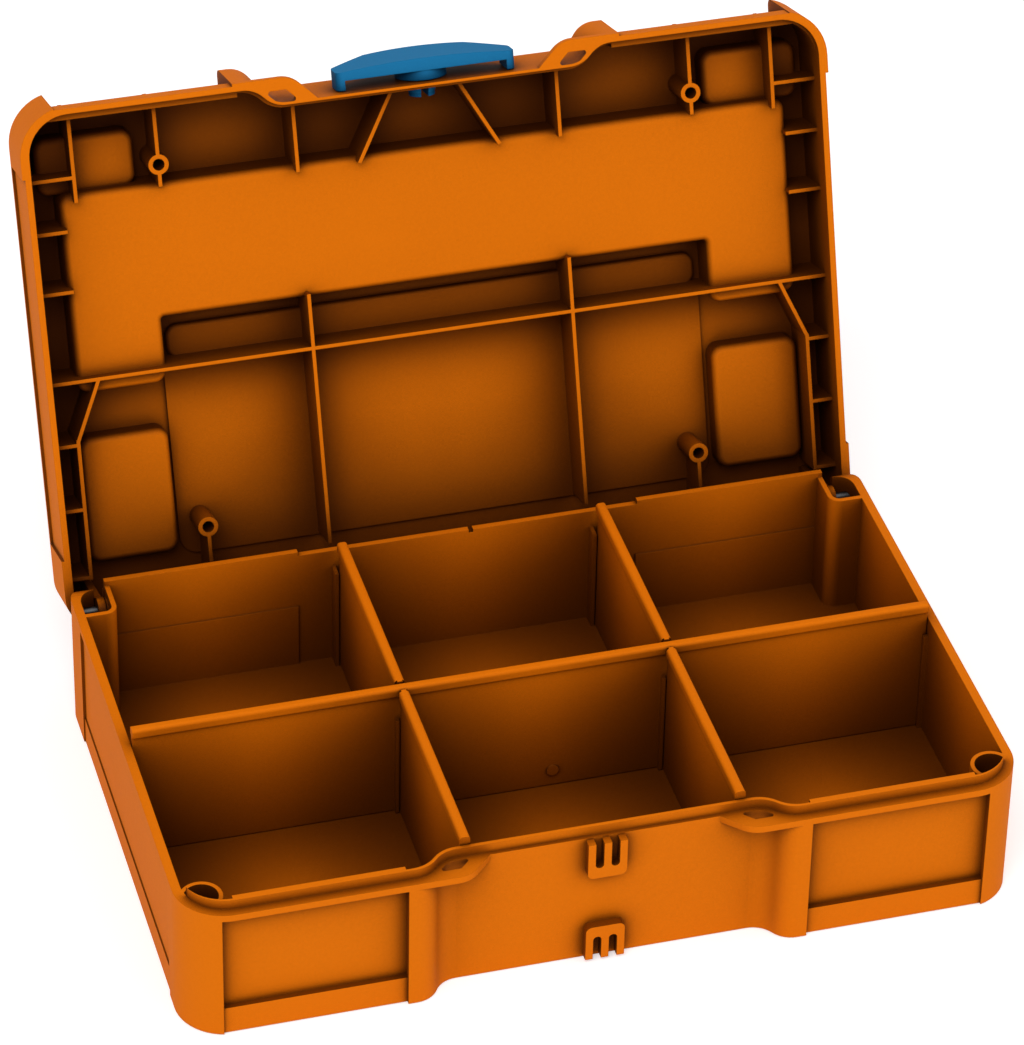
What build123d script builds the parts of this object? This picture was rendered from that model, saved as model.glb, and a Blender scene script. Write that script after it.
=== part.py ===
from build123d import *
import os

# A small stackable tool case: a moulded tray with an open lid, a turning latch lever on the lid's
# front and a set of lift-out dividers. Millimetres, +Z up, origin at the centre of the base's
# underside, with the front towards -Y. The lid is drawn closed and then turned open about its hinge.

# Overall size
width = 265.0
depth = 171.0
base_height = 47.0
case_height = 71.0
seam_gap = 0.3
wall = 2.0
side = width / 2
front = -depth / 2

# Footprint
front_radius = 16.0
back_radius = 10.0
centre_setback = 8.0
bend_inner = 46.5
bend_outer = 60.5
inner_post = 63.4
corner_post = side - 12.0

# Walls
side_wall = 2.9
front_wall = 3.8
centre_wall = 2.4
panel_setback = 3.3
panel_wall = 1.9
side_panel_setback = 0.9
side_skirt_setback = 0.45
skirt_setback = 1.3
skirt_height = 9.6
side_panel_front = 22.0
side_panel_back = depth - 23.0
floor_bottom = 1.5
floor_thickness = 2.0
floor_top = floor_bottom + floor_thickness
underside_margin = 7.0
underside_side_margin = 14.0
underside_rib = 3.0
inner_side = side - side_wall
centre_inner = centre_setback + centre_wall
panel_inner = panel_setback + panel_wall

# Rim lip and ears beside the latch
lip_height = 3.3
lip_run = 32.0
panel_lip_setback = 2.9
centre_lip_setback = 9.2
ear_thickness = 2.4
ear_inner = 36.2
ear_radius = 9.0
slot_start = 42.2
slot_length = 7.0
slot_setback = 4.0
slot_radius = 0.8
panel_top = base_height - ear_thickness

# Back of the base
back_wall_outer = depth - 2.5
back_wall_inner = depth - 4.4
back_step = base_height - 18.2
back_rise = 1.6
back_centre_rise = 0.2
back_centre_half = 57.0
back_lining = 0.6
back_lining_height = 27.0

# Corner pockets at the back and corner tubes at the front
pocket_width = 13.5
pocket_depth = 19.0
pocket_wall = 1.6
pocket_radius = 4.0
pocket_inner = side - pocket_width
tube_radius = 6.6
tube_wall = 1.3
tube_x = side - 8.0
tube_setback = 11.0

# Hinge
hinge_setback = depth - 7.5
hinge_height = base_height - 7.0
open_angle = 109.0
hinge_knuckle = 4.2
hinge_web = 3.0
hinge_arm = 2.4
pin_radius = 1.5
pin_fit = 0.02
pin_running_fit = 0.08
pin_boss_radius = 4.0
pin_cover = 0.8
hinge_clearance = 0.4
arm_swing_room = 1.2
shelf_drop = 2.0
shelf_inset = 1.3
shelf_rise = 2.2
hinge_arm_inner = pocket_inner + pocket_wall + 2 * hinge_clearance
hinge_arm_outer = hinge_arm_inner + hinge_arm
hinge_y = front + hinge_setback
hinge_axis = Axis((0, hinge_y, hinge_height), (1, 0, 0))

# Lid
lid_bottom = base_height + seam_gap
lip_top = base_height + lip_height
lid_top = 2.0
lid_inside = case_height - lid_top
lid_edge_radius = 3.0
lid_skirt_top = lid_bottom + 5.5
lid_skirt_setback = 0.85
lid_panel_lean = 2.0
lid_panel_chamfer = 1.5
lid_side_panel_top = case_height - 4.0
lid_back_inner = depth - 2.0
sheet_half = 90.0
sheet_back = depth - 12.5
sheet_radius = 6.0
sheet_thickness = 1.0

# Hollow shapes that stand down inside the lid
plateau_half = side - 12.5
plateau_front = 31.0
plateau_back = 96.5
plateau_notch_half = plateau_half - 29.0
plateau_notch_front = 75.0
plateau_depth = 12.0
plateau_radius = 4.0
notch_radius = 1.2
block_depth = 7.5
block_wall = 2.0
block_radius = 4.0
rear_block = (side - 41.0, side - 11.5, depth - 58.0, depth - 16.0)
front_block = (side - 38.5, side - 6.5, 13.5, plateau_front + 1.0)
strip_half = plateau_notch_half - 2.3
strip_front = 80.8
strip_depth = 2.5
plateau_low = lid_inside - plateau_depth
block_low = lid_inside - block_depth
strip_low = lid_inside - strip_depth

# Lid ribs and bosses
rib = 1.2
rib_edge = lid_bottom + 6.3
cross_rib_setback = 91.3
cross_rib_end = depth - 14.0
front_side_ribs = (42.0, 61.7)
back_side_ribs = (depth - 58.8, depth - 37.2, depth - 14.2)
corner_rib_x = side - 17.3
corner_rib_end = 32.5
corner_rib_tie = 24.8
slant_rib = ((side - 18.5, 92.0), (side - 16.9, 95.8), (side - 10.3, 111.0), (side - 10.0, depth - 14.0))
centre_rib = ((10.8, 10.0), (22.9, 32.0))
boss_radius = 3.3
boss_hole = 1.9
boss_edge = rib_edge + rib / 2
front_boss = (side - 44.7, 24.4)
rear_boss = (side - 49.7, depth - 25.1)
boss_floor = 2.5

# Latch lever, measured from the lid's front plane and from its pivot
lever_height = base_height + 11.5
lever_half_length = 29.3
lever_drop = 8.5
lever_crown = 9.0
lever_crown_edge = 7.8
lever_crown_half = 16.5
lever_end_drop = 0.5
lever_leg = 2.8
lever_leg_reach = 7.6
lever_peak = 0.2
lever_shoulder = 1.8
lever_inside = 4.4
lever_hub_radius = 8.4
lever_shaft_radius = 4.2
lever_shaft_fit = 0.08
lever_barb_radius = 4.9
lever_barb_length = 2.0
lever_prong_reach = 14.0
lever_split = 2.4
lever_barb_taper = 15.0
lever_corner_radius = 2.0

# Latch lugs on the base's centre front
lug_half = 6.2
lug_front = 5.0
lug_top = base_height - 0.6
lug_bottom = lug_top - 13.4
lower_lug_bottom = 0.8
lower_lug_top = 13.5
lug_slot = 2.6
lug_prong = 2.4
lug_web = 4.0
lug_radius = 2.0

# Dividers
divider_top = base_height + 6.0
divider_web = 1.6
divider_bead = 3.3
divider_bead_height = 3.0
divider_bead_round = 1.1
divider_clearance = 0.4
divider_setback = 86.3
cross_divider_x = 43.35
guide_rib = 1.2
guide_depth = 1.6
guide_reach = divider_web / 2 + guide_depth
back_guide_depth = 5.0
guide_top = base_height - 6.0
nub_radius = 2.0
nub_height = 0.7
nub_x = 6.0
nub_z = 10.0


def case_outline(half_width, front_set, centre_set, back_set, bends, front_r, back_r):
    """Draw a footprint of the case in the open sketch, from its setbacks behind the front face."""
    inner, outer = bends
    f, c, b = front + front_set, front + centre_set, front + back_set
    middle = ((inner + outer) / 2, (f + c) / 2)
    with BuildLine() as edge:
        Line((0, c), (inner, c))
        bend = TangentArc((inner, c), middle, tangent=(1, 0))
        TangentArc(middle, (outer, f), tangent=bend % 1)
        Line((outer, f), (half_width - front_r, f))
        TangentArc((half_width - front_r, f), (half_width, f + front_r), tangent=(1, 0))
        Line((half_width, f + front_r), (half_width, b - back_r))
        TangentArc((half_width, b - back_r), (half_width - back_r, b), tangent=(0, 1))
        Line((half_width - back_r, b), (0, b))
        mirror(about=Plane.YZ)
    make_face(edge.edges())


def outer_outline():
    """The outside of the case at its posts."""
    case_outline(side, 0, centre_setback, depth, (bend_inner, bend_outer), front_radius, back_radius)


def inner_outline(back_set):
    """The inside of the walls."""
    radius = front_radius - side_wall
    bends = (bend_inner, inner_post - wall)
    case_outline(inner_side, front_wall, centre_inner, back_set, bends, radius, back_radius - side_wall)


def lip_outline(clearance=0.0):
    """The outside of the lip that stands up inside the front rim."""
    radius = front_radius - panel_lip_setback
    case_outline(inner_side - seam_gap + clearance, panel_lip_setback - clearance,
                 centre_lip_setback - clearance, back_wall_inner, (bend_inner, bend_outer), radius,
                 back_radius - side_wall)


def box(x, y, z, mode=Mode.ADD):
    """A box between two values of x, of the setback behind the front face, and of z."""
    centre = ((x[0] + x[1]) / 2, front + (y[0] + y[1]) / 2, (z[0] + z[1]) / 2)
    with Locations(centre):
        Box(abs(x[1] - x[0]), abs(y[1] - y[0]), abs(z[1] - z[0]), mode=mode)


def both_sides(x, y, z, mode=Mode.ADD):
    """The same box on the left and on the right."""
    box(x, y, z, mode)
    box((-x[1], -x[0]), y, z, mode)


def upright_rib(start, end, low, high, thickness=rib):
    """An upright rib between two points given as (x, setback), with its mirror image."""
    for turn in (1, -1):
        a = Vector(turn * start[0], front + start[1])
        b = Vector(turn * end[0], front + end[1])
        angle = Vector(1, 0).get_signed_angle(b - a, Vector(0, 0, 1))
        with BuildSketch(Plane.XY.offset(low)) as plan:
            with Locations(Location((a + b) * 0.5, (0, 0, angle))):
                Rectangle((b - a).length + thickness, thickness)
        extrude(plan.sketch, amount=high - low)


def ears(low):
    """The flat ears beside the latch, each with a slanted slot through it."""
    edge_start = ear_inner + centre_setback
    slot_run = centre_setback - slot_setback
    with BuildSketch(Plane.XY.offset(low)) as plan:
        with BuildLine():
            Polyline((ear_inner, front + centre_setback), (edge_start, front), (inner_post, front),
                     (inner_post, front + wall), (bend_outer, front + wall),
                     (bend_inner, front + centre_setback + wall / 2),
                     (ear_inner, front + centre_setback + wall / 2), (ear_inner, front + centre_setback))
        make_face()
        fillet(plan.vertices().sort_by_distance((edge_start, front))[0], ear_radius)
        with BuildSketch(mode=Mode.PRIVATE) as slot:
            with BuildLine():
                Polyline((slot_start, front + centre_setback), (slot_start + slot_run, front + slot_setback),
                         (slot_start + slot_run + slot_length, front + slot_setback),
                         (slot_start + slot_length, front + centre_setback),
                         (slot_start, front + centre_setback))
            make_face()
            fillet(slot.vertices(), slot_radius)
        add(slot.sketch, mode=Mode.SUBTRACT)
        mirror(about=Plane.YZ)
    extrude(plan.sketch, amount=ear_thickness)


def side_profile(points, x, mode=Mode.ADD):
    """A shape drawn as (setback, z) points and run between two values of x, on both sides."""
    for low, high in (x, (-x[1], -x[0])):
        with BuildSketch(Plane.YZ.offset(low)) as profile:
            with BuildLine():
                Polyline(*[(front + setback, z) for setback, z in points], close=True)
            make_face()
        extrude(profile.sketch, amount=high - low, mode=mode)


def hollow_block(x, y, low):
    """A rounded block that stands down inside the lid, open at the lid's top, with its mirror image."""
    size = (x[1] - x[0], y[1] - y[0])
    centre = ((x[0] + x[1]) / 2, front + (y[0] + y[1]) / 2)
    with BuildPart(mode=Mode.PRIVATE) as block:
        with BuildSketch(Plane.XY.offset(low)):
            with Locations(centre):
                RectangleRounded(size[0], size[1], block_radius)
        extrude(amount=lid_inside + lid_top / 2 - low)
        fillet(block.edges().group_by(Axis.Z)[0], min(block_wall, (lid_inside - low) / 2))
    with BuildPart(mode=Mode.PRIVATE) as hollow:
        with BuildSketch(Plane.XY.offset(low + block_wall)):
            with Locations(centre):
                RectangleRounded(size[0] - 2 * block_wall, size[1] - 2 * block_wall,
                                 block_radius - block_wall)
        extrude(amount=case_height - low)
    add(block.part)
    mirror(block.part, about=Plane.YZ)
    add(hollow.part, mode=Mode.SUBTRACT)
    mirror(hollow.part, about=Plane.YZ, mode=Mode.SUBTRACT)


def latch_lug(root, tip):
    """A lug on the centre front, from the z of its solid end to the z of its three prongs' tips."""
    with BuildSketch(Plane.XZ.offset(-front - lug_front)) as lug:
        with Locations((0, (root + tip) / 2)):
            Rectangle(2 * lug_half, abs(tip - root))
        fillet(lug.vertices().sort_by_distance((0, root))[:2], lug_radius)
        slot_middle = (lug_slot + lug_prong) / 2
        with Locations((-slot_middle, tip), (slot_middle, tip)):
            SlotOverall(2 * (abs(tip - root) - lug_web), lug_slot, rotation=90, mode=Mode.SUBTRACT)
    extrude(lug.sketch, amount=lug_front - centre_setback - wall / 2)


def hinge_disc(radius, x, mode=Mode.ADD):
    """A cylinder about the hinge axis between two values of x."""
    with Locations(Location(((x[0] + x[1]) / 2, hinge_y, hinge_height), (0, 90, 0))):
        Cylinder(radius, abs(x[1] - x[0]), mode=mode)


# Base: the tray with its rim, posts, lugs and pockets
with BuildPart() as base_shell:
    with BuildSketch():
        outer_outline()
    extrude(amount=base_height)
    ears(base_height - ear_thickness)
    with BuildSketch(Plane.XY.offset(floor_top)):
        inner_outline(back_wall_inner)
    extrude(amount=case_height, mode=Mode.SUBTRACT)

    # Recessed panels between the posts, over a skirt that is set back a little
    panel_x = (inner_post, corner_post)
    both_sides(panel_x, (0, panel_setback), (skirt_height, panel_top), Mode.SUBTRACT)
    both_sides(panel_x, (0, skirt_setback), (0, skirt_height), Mode.SUBTRACT)
    both_sides((inner_post - wall, corner_post + wall), (panel_setback, panel_inner),
               (floor_bottom, base_height))
    side_panel = (side_panel_front, side_panel_back)
    both_sides((side - side_panel_setback, side), side_panel, (skirt_height, panel_top), Mode.SUBTRACT)
    both_sides((side - side_skirt_setback, side), side_panel, (0, skirt_height), Mode.SUBTRACT)

    # The lip that the lid's edge closes over
    with BuildSketch(Plane.XY.offset(base_height)) as lip:
        lip_outline()
        with BuildSketch(mode=Mode.PRIVATE) as inside:
            inner_outline(back_wall_inner)
        add(inside.sketch, mode=Mode.SUBTRACT)
        with Locations((0, front)):
            Rectangle(width, 2 * lip_run, mode=Mode.INTERSECT)
    extrude(amount=lip_height)
    lip_straight = (inner_post, inner_side - front_radius + panel_lip_setback)
    both_sides(lip_straight, (panel_lip_setback, panel_inner), (base_height, lip_top))

    # The back wall stands inside the lid's back wall
    box((-side, side), (back_wall_outer, depth + wall), (back_step, case_height), Mode.SUBTRACT)
    both_sides((back_centre_half, pocket_inner + pocket_wall), (back_wall_inner, back_wall_outer),
               (base_height, base_height + back_rise))
    box((-back_centre_half, back_centre_half), (back_wall_inner, back_wall_outer),
        (base_height, base_height + back_centre_rise))
    both_sides((back_centre_half, pocket_inner), (back_wall_inner - back_lining, back_wall_inner),
               (floor_top, back_lining_height))

    # Pockets in the back corners for the hinge arms, and hollow corner tubes at the front
    with BuildSketch(Plane.XY.offset(floor_top)):
        with Locations((-tube_x, front + tube_setback), (tube_x, front + tube_setback)):
            Circle(tube_radius)
            Circle(tube_radius - tube_wall, mode=Mode.SUBTRACT)
        with Locations((-side, front + depth), (side, front + depth)):
            RectangleRounded(2 * pocket_width, 2 * pocket_depth, pocket_radius)
            RectangleRounded(2 * (pocket_width - pocket_wall), 2 * (pocket_depth - pocket_wall),
                             pocket_radius - pocket_wall, mode=Mode.SUBTRACT)
        with BuildSketch(mode=Mode.PRIVATE) as tray:
            inner_outline(back_wall_inner)
        add(tray.sketch, mode=Mode.INTERSECT)
    extrude(amount=base_height - floor_top)

    # Bosses that hold the inner ends of the hinge pins
    for turn in (1, -1):
        hinge_disc(pin_boss_radius, (turn * pocket_inner, turn * (hinge_arm_inner - hinge_clearance)))

    # Room behind the hinge for the corners and the arms of the lid as it opens
    swing = lid_bottom - hinge_height - hinge_clearance
    shelf_y = front + back_wall_outer - shelf_inset
    with BuildSketch(Plane.YZ) as corner_swing:
        with BuildLine():
            Line((hinge_y, case_height), (hinge_y, hinge_height + swing))
            TangentArc((hinge_y, hinge_height + swing), (hinge_y + swing, hinge_height), tangent=(1, 0))
            Polyline((hinge_y + swing, hinge_height),
                     (hinge_y + swing - hinge_clearance, hinge_height - shelf_drop),
                     (shelf_y, back_step + shelf_rise),
                     (shelf_y, back_step),
                     (front + depth + wall, back_step),
                     (front + depth + wall, case_height),
                     (hinge_y, case_height))
        make_face()
    for turn in (1, -1):
        low, high = sorted((turn * (pocket_inner + pocket_wall), turn * (side + wall)))
        extrude(corner_swing.sketch.moved(Location((low, 0, 0))), amount=high - low, dir=(1, 0, 0),
                mode=Mode.SUBTRACT)
    arm_low = hinge_height - hinge_knuckle - arm_swing_room
    arm_room = (hinge_arm_inner - hinge_clearance, hinge_arm_outer + hinge_clearance)
    knuckle_front = hinge_setback - hinge_knuckle - hinge_clearance
    both_sides(arm_room, (knuckle_front, depth), (arm_low, case_height), Mode.SUBTRACT)
    for turn in (1, -1):
        pin_hole = (turn * (pocket_inner + pin_cover), turn * (side + wall))
        hinge_disc(pin_radius + pin_fit, pin_hole, Mode.SUBTRACT)

    # Latch lugs: the upper one's prongs stand up, the lower one's hang down
    latch_lug(lug_bottom, lug_top)
    latch_lug(lower_lug_top, lower_lug_bottom)

    # Guide ribs for the dividers, in pairs
    for offset_y in (-1, 1):
        near = divider_setback + offset_y * (divider_web / 2 + divider_clearance)
        far = near + offset_y * guide_rib
        both_sides((inner_side - guide_depth, inner_side), (min(near, far), max(near, far)),
                   (floor_top, guide_top))
        near_x = divider_web / 2 + divider_clearance
        for x in (-cross_divider_x, cross_divider_x):
            gap = sorted((x + offset_y * near_x, x + offset_y * (near_x + guide_rib)))
            box(gap, (centre_inner, centre_inner + guide_depth), (floor_top, guide_top))
            box(gap, (back_wall_inner - back_guide_depth, back_wall_inner), (floor_top, guide_top))

    # Four shallow recesses under the floor, with a cross of ribs between them
    recess_width = side - underside_side_margin - underside_rib / 2
    recess_depth = (back_wall_outer - centre_setback - underside_rib) / 2 - underside_margin
    with BuildSketch():
        with Locations((0, front + (centre_setback + back_wall_outer) / 2)):
            with GridLocations(recess_width + underside_rib, recess_depth + underside_rib, 2, 2):
                RectangleRounded(recess_width, recess_depth, underside_margin)
    extrude(amount=floor_bottom, mode=Mode.SUBTRACT)


# Lid, drawn closed over the base
with BuildPart() as lid_shell:
    with BuildSketch(Plane.XY.offset(lid_bottom)):
        outer_outline()
    extrude(amount=case_height - lid_bottom)
    fillet(lid_shell.edges().group_by(Axis.Z)[-1], lid_edge_radius)
    ears(lid_bottom)
    with BuildSketch(Plane.XY.offset(lid_bottom)):
        inner_outline(lid_back_inner)
    extrude(amount=lid_inside - lid_bottom, mode=Mode.SUBTRACT)

    # Leaning panels between the posts, recessed right up through the lid's top, over a set-back skirt
    panel_foot = lip_top + seam_gap
    lean_top = panel_setback + lid_panel_lean
    side_profile([(panel_setback - wall, panel_foot), (panel_inner, panel_foot), (panel_inner, lid_skirt_top),
                  (panel_inner + lid_panel_lean, lid_inside), (panel_setback - wall, lid_inside)],
                 (inner_post - wall, corner_post + wall))
    side_profile([(-wall, lid_skirt_top), (panel_setback, lid_skirt_top),
                  (lean_top, case_height - lid_panel_chamfer), (lean_top + lid_panel_chamfer, case_height),
                  (lean_top + lid_panel_chamfer, case_height + wall), (-wall, case_height + wall)],
                 panel_x, Mode.SUBTRACT)
    both_sides(panel_x, (0, lid_skirt_setback), (lid_bottom, lid_skirt_top), Mode.SUBTRACT)
    both_sides((side - side_panel_setback, side), side_panel, (lid_bottom, lid_side_panel_top),
               Mode.SUBTRACT)

    # The rebate that takes the base's lip
    with BuildSketch(Plane.XY.offset(lid_bottom)):
        lip_outline(seam_gap)
    extrude(amount=lip_height, mode=Mode.SUBTRACT)

    # The back wall ends above the base's back wall
    back_edge = base_height + back_rise + seam_gap
    box((-inner_side, inner_side), (hinge_setback, depth + wall), (lid_bottom, back_edge),
        Mode.SUBTRACT)

    # Panel that stands down inside the lid, hollow from above, with a notch at the back
    with BuildPart(mode=Mode.PRIVATE) as plateau_block:
        with BuildSketch(Plane.XY.offset(plateau_low)) as plateau:
            with Locations((0, front + (plateau_front + plateau_back) / 2)):
                Rectangle(2 * plateau_half, plateau_back - plateau_front)
            with Locations((0, front + (plateau_notch_front + plateau_back) / 2)):
                Rectangle(2 * plateau_notch_half, plateau_back - plateau_notch_front, mode=Mode.SUBTRACT)
            fillet(plateau.vertices().group_by(Axis.Y)[1], notch_radius)
            corners = plateau.vertices().group_by(Axis.Y)
            fillet(corners[0] + corners[-1], plateau_radius)
        extrude(amount=plateau_depth + lid_top / 2)
        fillet(plateau_block.edges().group_by(Axis.Z)[0], block_wall)
    add(plateau_block.part)
    with BuildSketch(Plane.XY.offset(plateau_low + block_wall)):
        add(plateau.sketch)
        offset(amount=-block_wall, kind=Kind.ARC)
    extrude(amount=case_height, mode=Mode.SUBTRACT)

    # Shallower blocks near the corners and a low strip in the notch, and the sheet's thicker middle
    hollow_block(rear_block[:2], rear_block[2:], block_low)
    hollow_block(front_block[:2], front_block[2:], block_low)
    hollow_block((-strip_half, strip_half), (strip_front, cross_rib_setback + rib / 2), strip_low)
    with BuildSketch(Plane.XY.offset(lid_inside - sheet_thickness)):
        with Locations((0, front + (cross_rib_setback + sheet_back) / 2)):
            RectangleRounded(2 * sheet_half, sheet_back - cross_rib_setback, sheet_radius)
    extrude(amount=sheet_thickness + lid_top / 2)

    # Ribs whose edges close the compartments
    over_plateau = plateau_low + block_wall / 2
    over_block = block_low + block_wall / 2
    cross_rib = (cross_rib_setback - rib / 2, cross_rib_setback + rib / 2)
    notch_rib = plateau_notch_half + block_wall / 2
    box((-inner_side, inner_side), cross_rib, (rib_edge, over_plateau))
    box((-notch_rib, notch_rib), cross_rib, (rib_edge, lid_inside))
    both_sides((plateau_half - block_wall / 2, inner_side), cross_rib, (rib_edge, lid_inside))
    for start, end, high in ((plateau_notch_front - rib, strip_front + rib, lid_inside),
                             (strip_front, cross_rib_setback, strip_low + block_wall / 2),
                             (cross_rib_setback, cross_rib_end, lid_inside),
                             (centre_inner, plateau_front + rib, lid_inside)):
        upright_rib((cross_divider_x, start), (cross_divider_x, end), rib_edge, high)
    upright_rib((corner_rib_x, panel_inner), (corner_rib_x, front_block[2] + rib), rib_edge, lid_inside)
    upright_rib((corner_rib_x, panel_inner), (corner_rib_x, corner_rib_end), rib_edge, over_block)
    both_sides((corner_rib_x, inner_side), (corner_rib_tie - rib / 2, corner_rib_tie + rib / 2),
               (rib_edge, over_block))
    upright_rib(centre_rib[0], centre_rib[1], rib_edge, lid_inside)
    upright_rib(slant_rib[0], slant_rib[1], rib_edge, over_plateau)
    upright_rib(slant_rib[1], slant_rib[2], rib_edge, lid_inside)
    upright_rib(slant_rib[2], slant_rib[3], rib_edge, lid_inside)
    for setbacks, rib_start in ((front_side_ribs, plateau_half - rib), (back_side_ribs, slant_rib[3][0])):
        for setback in setbacks:
            both_sides((rib_start, inner_side), (setback - rib / 2, setback + rib / 2),
                       (rib_edge, lid_inside))

    # Tubular bosses, each with a rib to the nearest wall
    for x, setback in (front_boss, rear_boss):
        for turn in (1, -1):
            with Locations((turn * x, front + setback, (boss_edge + lid_inside) / 2)):
                Cylinder(boss_radius, lid_inside - boss_edge)
    upright_rib((front_boss[0], panel_inner), (front_boss[0], front_boss[1] - boss_radius + rib),
                boss_edge, lid_inside)
    upright_rib((front_boss[0], front_boss[1] + boss_radius), (front_boss[0], plateau_front),
                boss_edge, lid_inside)
    upright_rib((rear_boss[0], rear_boss[1] + boss_radius), (rear_boss[0], lid_back_inner),
                boss_edge, lid_inside)
    for x, setback in (front_boss, rear_boss):
        for turn in (1, -1):
            with Locations((turn * x, front + setback, boss_edge)):
                Cylinder(boss_hole, lid_inside - boss_floor - boss_edge,
                         align=(Align.CENTER, Align.CENTER, Align.MIN), mode=Mode.SUBTRACT)

    # Hinge arms that reach down into the base's corner pockets
    for turn in (1, -1):
        hinge_disc(hinge_knuckle, (turn * hinge_arm_inner, turn * hinge_arm_outer))
    both_sides((hinge_arm_inner, hinge_arm_outer), (hinge_setback - hinge_web, hinge_setback + hinge_web),
               (hinge_height, lid_bottom + wall))
    both_sides((hinge_arm_inner, hinge_arm_outer), (hinge_setback - hinge_web, lid_back_inner),
               (back_edge, lid_inside))
    for turn in (1, -1):
        hinge_disc(pin_radius + pin_running_fit, (turn * pocket_inner, turn * inner_side), Mode.SUBTRACT)

    with Locations(Location((0, front + centre_setback, lever_height), (90, 0, 0))):
        Cylinder(lever_shaft_radius + lever_shaft_fit, 4 * centre_wall, mode=Mode.SUBTRACT)

# Latch lever: an arched wing on a hub, with a split pivot that snaps through the lid's front
with BuildPart() as latch_lever:
    leg_inside = lever_half_length - lever_leg
    with BuildSketch(Plane.XY.offset(lever_height - lever_drop)):
        with BuildLine():
            ThreePointArc((-lever_half_length, front + lever_shoulder), (0, front + lever_peak),
                          (lever_half_length, front + lever_shoulder))
            Polyline((-lever_half_length, front + lever_shoulder),
                     (-lever_half_length, front + lever_leg_reach), (-leg_inside, front + lever_leg_reach),
                     (-leg_inside, front + lever_inside), (leg_inside, front + lever_inside),
                     (leg_inside, front + lever_leg_reach), (lever_half_length, front + lever_leg_reach),
                     (lever_half_length, front + lever_shoulder))
        make_face()
    extrude(amount=lever_drop + lever_crown)
    with BuildSketch(Plane.XZ.offset(-front)) as wing_face:
        with BuildLine():
            ThreePointArc((-lever_crown_half, lever_height + lever_crown_edge),
                          (0, lever_height + lever_crown),
                          (lever_crown_half, lever_height + lever_crown_edge))
            Polyline((lever_crown_half, lever_height + lever_crown_edge),
                     (lever_half_length, lever_height - lever_end_drop),
                     (lever_half_length, lever_height - lever_drop),
                     (-lever_half_length, lever_height - lever_drop),
                     (-lever_half_length, lever_height - lever_end_drop),
                     (-lever_crown_half, lever_height + lever_crown_edge))
        make_face()
        fillet(wing_face.vertices(), lever_corner_radius)
    extrude(amount=-2 * centre_setback, mode=Mode.INTERSECT)
    with BuildSketch(Plane.XZ.offset(-front - lever_inside)):
        with Locations((0, lever_height)):
            Circle(lever_hub_radius)
    extrude(amount=-(lever_leg_reach - lever_inside))
    with BuildSketch(Plane.XZ.offset(-front - lever_leg_reach)):
        with Locations((0, lever_height)):
            Circle(lever_shaft_radius)
    extrude(amount=-(lever_prong_reach - lever_leg_reach))
    barb_start = centre_inner + seam_gap
    with BuildSketch(Plane.XZ.offset(-front - barb_start)):
        with Locations((0, lever_height)):
            Circle(lever_barb_radius)
    extrude(amount=-lever_barb_length, taper=lever_barb_taper)
    box((-lever_split / 2, lever_split / 2), (centre_setback, lever_prong_reach + wall),
        (lever_height - 2 * lever_barb_radius, lever_height + 2 * lever_barb_radius), Mode.SUBTRACT)


def divider(along, web_span, bead_span, across):
    """A divider's web and its thicker bead, each given as (start, end) along X or along Y."""
    along_x = along == "x"
    with BuildPart() as made:
        for span, thickness, low in ((web_span, divider_web, floor_top + divider_clearance),
                                     (bead_span, divider_bead, divider_top - divider_bead_height)):
            sides = (across - thickness / 2, across + thickness / 2)
            box(span if along_x else sides, sides if along_x else span, (low, divider_top))
        top_edges = made.edges().group_by(Axis.Z)[-1].filter_by(Axis.X if along_x else Axis.Y)
        fillet(top_edges.sort_by(SortBy.LENGTH)[-2:], divider_bead_round)
    return made


# Dividers: one across the whole width and four short ones that slide into its guides
long_half = inner_side - divider_clearance
with BuildPart() as divider_long:
    add(divider("x", (-long_half, long_half), (-long_half, long_half), divider_setback).part)
    for x in (-cross_divider_x, cross_divider_x):
        for offset_x in (-1, 1):
            near_x = x + offset_x * (divider_web / 2 + divider_clearance)
            gap = sorted((near_x, near_x + offset_x * guide_rib))
            box(gap, (divider_setback - guide_reach, divider_setback + guide_reach),
                (floor_top + divider_clearance, guide_top))
    with Locations(Location((nub_x, front + divider_setback - divider_web / 2, nub_z), (90, 0, 0))):
        Cylinder(nub_radius, 2 * nub_height)

# The short dividers' webs reach in between the long one's guides, and their beads stop short of them
web_gap = divider_bead / 2 + divider_clearance
bead_gap = guide_reach + divider_clearance
front_start = centre_inner + divider_clearance
back_end = back_wall_inner - back_guide_depth + guide_depth - divider_clearance
front_spans = (front_start, divider_setback - web_gap), (front_start, divider_setback - bead_gap)
back_spans = (divider_setback + web_gap, back_end), (divider_setback + bead_gap, back_end)
divider_front_left = divider("y", front_spans[0], front_spans[1], -cross_divider_x)
divider_front_right = divider("y", front_spans[0], front_spans[1], cross_divider_x)
divider_back_left = divider("y", back_spans[0], back_spans[1], -cross_divider_x)
divider_back_right = divider("y", back_spans[0], back_spans[1], cross_divider_x)


def hinge_pin(turn):
    """A pin through the case's side, a corner pocket and the hinge arm in it, on the side given by turn."""
    inner_end = pocket_inner + pin_cover + seam_gap
    with BuildPart() as pin:
        hinge_disc(pin_radius, (turn * inner_end, turn * (side - side_panel_setback)))
    return pin


hinge_pin_left = hinge_pin(-1)
hinge_pin_right = hinge_pin(1)

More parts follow.
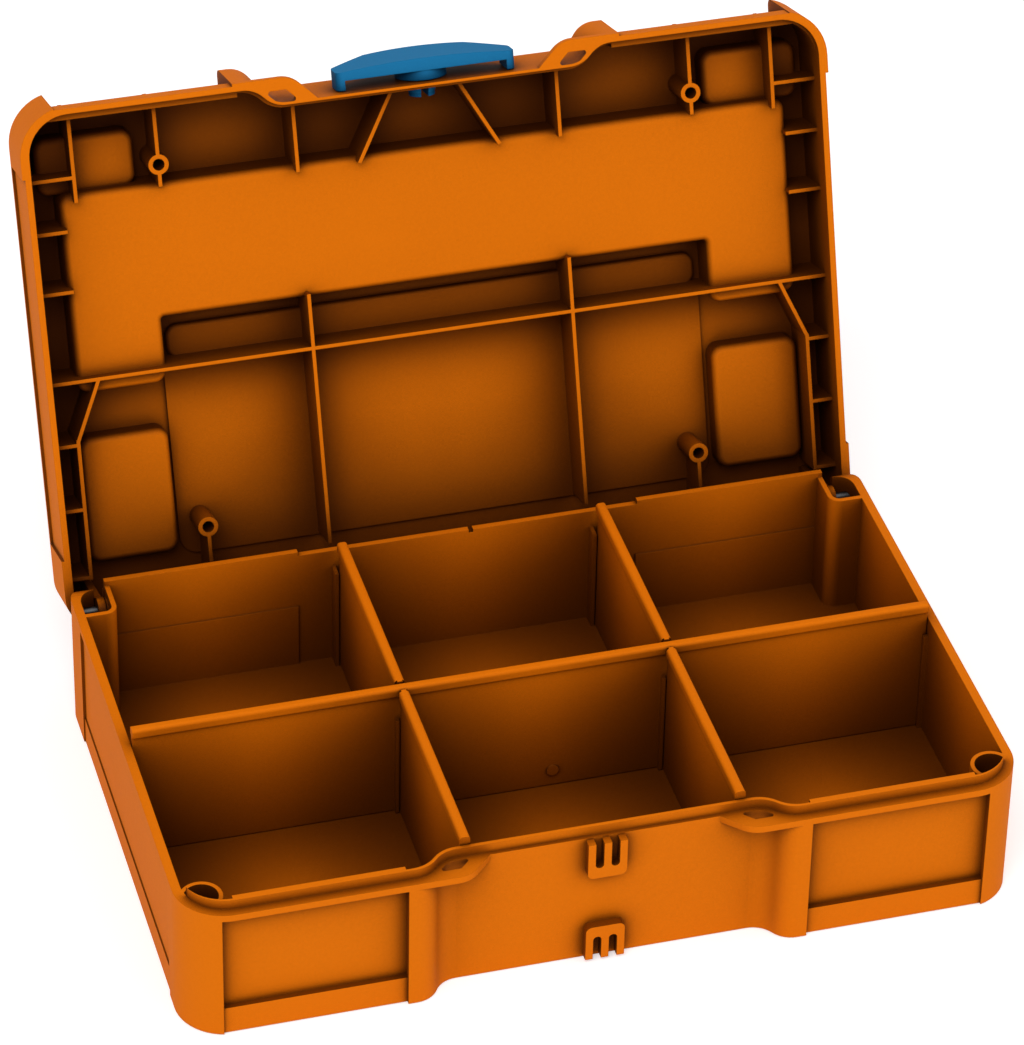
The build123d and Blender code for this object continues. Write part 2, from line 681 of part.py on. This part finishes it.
# The lid and its lever stand open
pieces = {
    "base_shell": base_shell.part,
    "lid_shell": lid_shell.part.rotate(hinge_axis, -open_angle),
    "latch_lever": latch_lever.part.rotate(hinge_axis, -open_angle),
    "divider_long": divider_long.part,
    "divider_front_left": divider_front_left.part,
    "divider_front_right": divider_front_right.part,
    "divider_back_left": divider_back_left.part,
    "divider_back_right": divider_back_right.part,
    "hinge_pin_left": hinge_pin_left.part,
    "hinge_pin_right": hinge_pin_right.part,
}

os.makedirs("parts", exist_ok=True)
for name, solid in pieces.items():
    solid.label = name
    export_step(solid, f"parts/{name}.step")
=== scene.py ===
"""Looks of the small stackable tool case: its finishes, the studio and the camera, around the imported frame."""

import logging
import math
from dataclasses import dataclass
from typing import Dict, List, Sequence, Tuple, Union

import bpy
import bmesh
from mathutils import Euler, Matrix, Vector


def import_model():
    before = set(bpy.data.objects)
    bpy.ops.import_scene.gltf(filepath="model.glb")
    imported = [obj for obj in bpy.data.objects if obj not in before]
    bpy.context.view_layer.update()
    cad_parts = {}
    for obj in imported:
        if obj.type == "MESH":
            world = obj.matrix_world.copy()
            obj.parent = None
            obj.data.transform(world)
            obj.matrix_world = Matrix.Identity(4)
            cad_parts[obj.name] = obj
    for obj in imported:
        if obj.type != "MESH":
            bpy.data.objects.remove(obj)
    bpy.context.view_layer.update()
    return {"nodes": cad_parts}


log = logging.getLogger("tool_case")

MM = 0.001

Colour = Tuple[float, float, float]
Place = Tuple[float, float, float]


def opaque(colour: Colour) -> Tuple[float, float, float, float]:
    """Return a colour with full opacity."""
    return (*colour, 1.0)


class NodeSketch:
    """A small helper that adds shader nodes to a material or a world and links them."""

    def __init__(self, owner: Union[bpy.types.Material, bpy.types.World]) -> None:
        """Start an empty node tree.

        Args:
            owner: The material or world that the nodes belong to.
        """
        owner.use_nodes = True
        self.tree = owner.node_tree
        self.tree.nodes.clear()

    def add(self, kind: str, **values: object) -> bpy.types.Node:
        """Add a node.

        Args:
            kind: The node's Blender type name.
            values: Node properties by name.

        Returns:
            The new node.
        """
        node = self.tree.nodes.new(kind)
        for name, value in values.items():
            setattr(node, name, value)
        return node

    def link(self, source: bpy.types.NodeSocket, target: bpy.types.NodeSocket) -> None:
        """Link an output socket to an input socket."""
        self.tree.links.new(source, target)

    def place(self) -> bpy.types.NodeSocket:
        """Return the socket of the place on the object, in metres."""
        return self.add("ShaderNodeTexCoord").outputs["Object"]

    def noise(self, where: bpy.types.NodeSocket, scale: float, detail: float,
              roughness: float) -> bpy.types.NodeSocket:
        """Add a noise texture read at a place.

        Args:
            where: The place's socket.
            scale: Features per metre.
            detail: Octaves of noise.
            roughness: How strong the finer octaves are.

        Returns:
            The socket of the noise's value.
        """
        node = self.add("ShaderNodeTexNoise")
        node.inputs["Scale"].default_value = scale
        node.inputs["Detail"].default_value = detail
        node.inputs["Roughness"].default_value = roughness
        self.link(where, node.inputs["Vector"])
        return node.outputs["Fac"]

    def spread(self, value: bpy.types.NodeSocket, low: float, high: float) -> bpy.types.NodeSocket:
        """Map a 0 to 1 value on to a range.

        Args:
            value: The socket to map.
            low: The result at 0.
            high: The result at 1.

        Returns:
            The mapped value's socket.
        """
        node = self.add("ShaderNodeMapRange")
        node.inputs["To Min"].default_value = low
        node.inputs["To Max"].default_value = high
        self.link(value, node.inputs["Value"])
        return node.outputs["Result"]

    def join(self, operation: str, first: bpy.types.NodeSocket,
             second: bpy.types.NodeSocket) -> bpy.types.NodeSocket:
        """Join two values by arithmetic.

        Args:
            operation: The operation's Blender name.
            first: The first value's socket.
            second: The second value's socket.

        Returns:
            The result's socket.
        """
        node = self.add("ShaderNodeMath", operation=operation)
        self.link(first, node.inputs[0])
        self.link(second, node.inputs[1])
        return node.outputs[0]

    def openness(self, reach: float, samples: int) -> bpy.types.NodeSocket:
        """Add a measure of how open the surroundings of a point are, the mask for painted shade in hollows.

        Args:
            reach: How far away a surface still counts, in metres.
            samples: Rays cast for each reading.

        Returns:
            A socket that is 0 inside a hollow and 1 in the open.
        """
        node = self.add("ShaderNodeAmbientOcclusion", samples=samples)
        node.inputs["Distance"].default_value = reach
        return node.outputs["AO"]

    def blend(self, factor: bpy.types.NodeSocket, low: Colour,
              high: Union[Colour, bpy.types.NodeSocket]) -> bpy.types.NodeSocket:
        """Mix two colours.

        Args:
            factor: The share of the second colour.
            low: The first colour.
            high: The second colour, or its socket.

        Returns:
            The mixed colour's socket.
        """
        node = self.add("ShaderNodeMix", data_type="RGBA")
        node.inputs["A"].default_value = opaque(low)
        if isinstance(high, bpy.types.NodeSocket):
            self.link(high, node.inputs["B"])
        else:
            node.inputs["B"].default_value = opaque(high)
        self.link(factor, node.inputs["Factor"])
        return node.outputs["Result"]

    def surface(self, shader: bpy.types.NodeSocket, kind: str = "ShaderNodeOutputMaterial") -> None:
        """Finish the tree with its output.

        Args:
            shader: The shader's socket.
            kind: The output node's Blender type name.
        """
        self.link(shader, self.add(kind).inputs["Surface"])


@dataclass(frozen=True)
class MouldedPlastic:
    """Injection-moulded plastic with a fine spark-eroded grain, slightly cloudy, with painted shade that darkens
    its hollows.
    """

    name: str
    colour: Colour
    shade: Colour
    # painted shade: the dark colour mixed into the base colour where the surroundings are closed, standing in
    # for shade in hollows
    painted_shade_colour: Colour
    roughness: float = 0.6
    roughness_spread: float = 0.08
    gloss: float = 0.04
    cloud_per_metre: float = 18.0
    cloud_detail: float = 3.0
    cloud_roughness: float = 0.55
    speck_per_metre: float = 910.0
    speck_detail: float = 2.0
    speck_roughness: float = 0.7
    shade_least: float = 0.1
    shade_most: float = 1.3
    grain_per_metre: float = 2600.0
    grain_detail: float = 3.0
    grain_roughness: float = 0.6
    grain_depth: float = 0.00005
    grain_strength: float = 0.25
    edge_radius: float = 0.0005
    edge_samples: int = 4
    # painted shade: reach, rays and steepness of the ambient-occlusion mask that darkens hollows in the base
    # colour
    painted_shade_reach: float = 0.05
    painted_shade_samples: int = 6
    painted_shade_power: float = 3.0

    def build(self) -> bpy.types.Material:
        """Make the material.

        Returns:
            The new material.
        """
        material = bpy.data.materials.new(self.name)
        sketch = NodeSketch(material)
        place = sketch.place()
        grain = sketch.noise(place, self.grain_per_metre, self.grain_detail, self.grain_roughness)
        shader = sketch.add("ShaderNodeBsdfPrincipled")
        sketch.link(self.paint(sketch, place), shader.inputs["Base Color"])
        sketch.link(sketch.spread(grain, self.roughness - self.roughness_spread,
                                  self.roughness + self.roughness_spread), shader.inputs["Roughness"])
        sketch.link(self.relief(sketch, grain), shader.inputs["Normal"])
        shader.inputs["Specular IOR Level"].default_value = self.gloss
        sketch.surface(shader.outputs["BSDF"])
        return material

    def paint(self, sketch: NodeSketch, place: bpy.types.NodeSocket) -> bpy.types.NodeSocket:
        """Add the colour, with its cloudiness and the painted shade that darkens its hollows.

        Args:
            sketch: The material's nodes.
            place: The socket of the place on the object.

        Returns:
            The colour's socket.
        """
        cloud = sketch.noise(place, self.cloud_per_metre, self.cloud_detail, self.cloud_roughness)
        speck = sketch.noise(place, self.speck_per_metre, self.speck_detail, self.speck_roughness)
        blotch = sketch.spread(sketch.join("MULTIPLY", cloud, speck), self.shade_least, self.shade_most)
        clouded = sketch.blend(blotch, self.colour, self.shade)
        # painted shade: the ambient-occlusion mask, raised to a power, mixes the dark colour into the hollows
        power = sketch.add("ShaderNodeMath", operation="POWER")
        power.inputs[1].default_value = self.painted_shade_power
        sketch.link(sketch.openness(self.painted_shade_reach, self.painted_shade_samples), power.inputs[0])
        return sketch.blend(power.outputs[0], self.painted_shade_colour, clouded)

    def relief(self, sketch: NodeSketch, grain: bpy.types.NodeSocket) -> bpy.types.NodeSocket:
        """Add the grain's bumps and the slightly rounded edges.

        Args:
            sketch: The material's nodes.
            grain: The socket of the grain's height.

        Returns:
            The normal's socket.
        """
        edge = sketch.add("ShaderNodeBevel", samples=self.edge_samples)
        edge.inputs["Radius"].default_value = self.edge_radius
        bump = sketch.add("ShaderNodeBump")
        bump.inputs["Strength"].default_value = self.grain_strength
        bump.inputs["Distance"].default_value = self.grain_depth
        sketch.link(grain, bump.inputs["Height"])
        sketch.link(edge.outputs["Normal"], bump.inputs["Normal"])
        return bump.outputs["Normal"]


@dataclass(frozen=True)
class DullSteel:
    """Dull steel of the pins with fine marks, and painted shade that darkens it far inside its pocket."""

    name: str
    colour: Colour = (0.22, 0.22, 0.23)
    # painted shade: the dark colour mixed in where the pin sits inside its pocket
    painted_shade_colour: Colour = (0.012, 0.010, 0.010)
    smoothest: float = 0.32
    roughest: float = 0.54
    marks_per_metre: float = 5200.0
    marks_detail: float = 2.0
    marks_roughness: float = 0.5
    # painted shade: reach and rays of the ambient-occlusion mask that darkens the pin in its pocket
    painted_shade_reach: float = 0.02
    painted_shade_samples: int = 6

    def build(self) -> bpy.types.Material:
        """Make the material.

        Returns:
            The new material.
        """
        material = bpy.data.materials.new(self.name)
        sketch = NodeSketch(material)
        marks = sketch.noise(sketch.place(), self.marks_per_metre, self.marks_detail, self.marks_roughness)
        shader = sketch.add("ShaderNodeBsdfPrincipled")
        # painted shade: the ambient-occlusion mask mixes the dark colour into the pin's base colour
        colour_with_painted_shade = sketch.blend(sketch.openness(self.painted_shade_reach, self.painted_shade_samples), self.painted_shade_colour, self.colour)
        sketch.link(colour_with_painted_shade, shader.inputs["Base Color"])
        shader.inputs["Metallic"].default_value = 1.0
        sketch.link(sketch.spread(marks, self.smoothest, self.roughest), shader.inputs["Roughness"])
        sketch.surface(shader.outputs["BSDF"])
        return material


@dataclass(frozen=True)
class StudioPaper:
    """Pale paper of the floor, lifted towards white for the camera, with the object's shadow kept."""

    name: str = "studio_paper"
    colour: Colour = (0.92, 0.92, 0.92)
    fibre_share: float = 0.985
    fibre_per_metre: float = 60.0
    fibre_detail: float = 2.0
    fibre_roughness: float = 0.5
    lift: float = 0.42

    def build(self) -> bpy.types.Material:
        """Make the material.

        Returns:
            The new material.
        """
        material = bpy.data.materials.new(self.name)
        sketch = NodeSketch(material)
        fibre = sketch.noise(sketch.place(), self.fibre_per_metre, self.fibre_detail, self.fibre_roughness)
        paper = sketch.add("ShaderNodeBsdfDiffuse")
        darker = tuple(part * self.fibre_share for part in self.colour)
        sketch.link(sketch.blend(fibre, self.colour, darker), paper.inputs["Color"])
        glow = sketch.add("ShaderNodeEmission")
        camera = sketch.add("ShaderNodeLightPath").outputs["Is Camera Ray"]
        sketch.link(sketch.spread(camera, 0.0, self.lift), glow.inputs["Strength"])
        both = sketch.add("ShaderNodeAddShader")
        sketch.link(paper.outputs["BSDF"], both.inputs[0])
        sketch.link(glow.outputs["Emission"], both.inputs[1])
        sketch.surface(both.outputs["Shader"])
        return material


@dataclass
class Finishes:
    """The finishes of the case, each made once and shared."""

    case: bpy.types.Material
    lever: bpy.types.Material
    pin: bpy.types.Material

    @classmethod
    def build(cls) -> "Finishes":
        """Make every finish of the case.

        Returns:
            The finishes.
        """
        return cls(
            # the last colour of each moulding is painted shade, mixed into its hollows
            case=MouldedPlastic("orange_moulding", (0.86, 0.196, 0.002), (0.74, 0.162, 0.002),
                                (0.055, 0.011, 0.0003)).build(),
            lever=MouldedPlastic("blue_moulding", (0.014, 0.202, 0.43), (0.012, 0.165, 0.37),
                                 (0.002, 0.040, 0.10)).build(),
            pin=DullSteel("pin_steel").build(),
        )


def dress(node: bpy.types.Object, finish: bpy.types.Material) -> None:
    """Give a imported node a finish.

    Args:
        node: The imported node's object.
        finish: The material for all its slots.
    """
    if not node.material_slots:
        node.data.materials.append(finish)
    for held in node.material_slots:
        held.material = finish


@dataclass
class CaseShells:
    """The tray, the lid and the dividers, all of one orange plastic."""

    names: Tuple[str, ...] = ("base_shell", "lid_shell", "divider_long", "divider_front_left",
                              "divider_front_right", "divider_back_left", "divider_back_right")

    def build(self, nodes: Dict[str, bpy.types.Object], finishes: Finishes) -> List[str]:
        """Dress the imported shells.

        Args:
            nodes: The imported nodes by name.
            finishes: The case's finishes.

        Returns:
            The names of what was dressed.
        """
        for name in self.names:
            dress(nodes[name], finishes.case)
        return list(self.names)


@dataclass
class LatchLever:
    """The blue turning lever on the lid's front."""

    name: str = "latch_lever"

    def build(self, nodes: Dict[str, bpy.types.Object], finishes: Finishes) -> List[str]:
        """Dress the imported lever.

        Args:
            nodes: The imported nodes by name.
            finishes: The case's finishes.

        Returns:
            The name of what was dressed.
        """
        dress(nodes[self.name], finishes.lever)
        return [self.name]


@dataclass
class HingePins:
    """The two steel pins of the lid hinge."""

    names: Tuple[str, ...] = ("hinge_pin_left", "hinge_pin_right")

    def build(self, nodes: Dict[str, bpy.types.Object], finishes: Finishes) -> List[str]:
        """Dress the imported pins.

        Args:
            nodes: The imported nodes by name.
            finishes: The case's finishes.

        Returns:
            The names of what was dressed.
        """
        for name in self.names:
            dress(nodes[name], finishes.pin)
        return list(self.names)


@dataclass
class Studio:
    """The pale floor, the soft lamps and the white surroundings."""

    floor_half: float = 6.0
    floor_cells: int = 4
    floor_drop: float = 0.0004
    ambient: float = 0.5
    aim: Place = (0.0, 0.03, 0.06)
    key_place: Place = (-0.9, -1.45, 2.3)
    key_power: float = 33.0
    key_size: float = 1.6
    fill_place: Place = (1.6, -1.2, 1.4)
    fill_power: float = 9.0
    fill_size: float = 1.8

    def build(self) -> None:
        """Make the floor, the lamps and the world."""
        self.floor()
        self.lamp("key_lamp", self.key_place, self.key_power, self.key_size)
        self.lamp("fill_lamp", self.fill_place, self.fill_power, self.fill_size)
        self.surroundings()

    def floor(self) -> None:
        """Lay the floor just under the case. It takes shadows and casts none on the case's walls."""
        mesh = bpy.data.meshes.new("studio_floor")
        shape = bmesh.new()
        bmesh.ops.create_grid(shape, x_segments=self.floor_cells, y_segments=self.floor_cells,
                              size=self.floor_half)
        shape.to_mesh(mesh)
        shape.free()
        floor = bpy.data.objects.new("studio_floor", mesh)
        floor.location.z = -self.floor_drop
        floor.visible_shadow = False
        mesh.materials.append(StudioPaper().build())
        bpy.context.scene.collection.objects.link(floor)

    def lamp(self, name: str, place: Sequence[float], power: float, size: float) -> None:
        """Hang a square soft lamp that looks at the case.

        Args:
            name: The lamp's name.
            place: Its place in metres.
            power: Its power in watts.
            size: The length of its side in metres.
        """
        data = bpy.data.lights.new(name, "AREA")
        data.energy = power
        data.size = size
        lamp = bpy.data.objects.new(name, data)
        lamp.location = place
        lamp.rotation_euler = (Vector(self.aim) - Vector(place)).to_track_quat("-Z", "Y").to_euler()
        bpy.context.scene.collection.objects.link(lamp)

    def surroundings(self) -> None:
        """Light the case evenly from all round, and show white to the camera, in gloss and through glass."""
        world = bpy.data.worlds.new("studio_world")
        bpy.context.scene.world = world
        sketch = NodeSketch(world)
        path = sketch.add("ShaderNodeLightPath").outputs
        through = sketch.join("MAXIMUM", path["Is Camera Ray"], path["Is Transmission Ray"])
        shown = sketch.join("MAXIMUM", through, path["Is Glossy Ray"])
        glow = sketch.add("ShaderNodeBackground")
        glow.inputs["Color"].default_value = opaque((1.0, 1.0, 1.0))
        sketch.link(sketch.spread(shown, self.ambient, 1.0), glow.inputs["Strength"])
        sketch.surface(glow.outputs["Background"], "ShaderNodeOutputWorld")


@dataclass
class PhotoCamera:
    """The camera at the photograph's angle, far off with a long lens."""

    place_mm: Place = (-378.58, -1270.06, 1095.37)
    turn_deg: Place = (53.3215, -0.9583, -15.5101)
    focal_mm: float = 185.92
    sensor_mm: float = 36.0
    nearest: float = 0.05
    farthest: float = 50.0

    def build(self) -> None:
        """Make the camera and use it for the scene."""
        data = bpy.data.cameras.new("photo_camera")
        data.lens = self.focal_mm
        data.sensor_width = self.sensor_mm
        data.clip_start = self.nearest
        data.clip_end = self.farthest
        camera = bpy.data.objects.new("photo_camera", data)
        camera.location = [v * MM for v in self.place_mm]
        camera.rotation_euler = Euler([math.radians(v) for v in self.turn_deg])
        bpy.context.scene.collection.objects.link(camera)
        bpy.context.scene.camera = camera


def main() -> None:
    """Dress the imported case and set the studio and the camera."""
    logging.basicConfig(level=logging.INFO, format="%(name)s: %(message)s")
    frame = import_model()
    finishes = Finishes.build()
    for assembly in (CaseShells(), LatchLever(), HingePins()):
        for name in assembly.build(frame["nodes"], finishes):
            log.info("dressed %s", name)
    Studio().build()
    PhotoCamera().build()
    bpy.context.scene.view_settings.view_transform = "Standard"


if __name__ == "__main__":
    main()
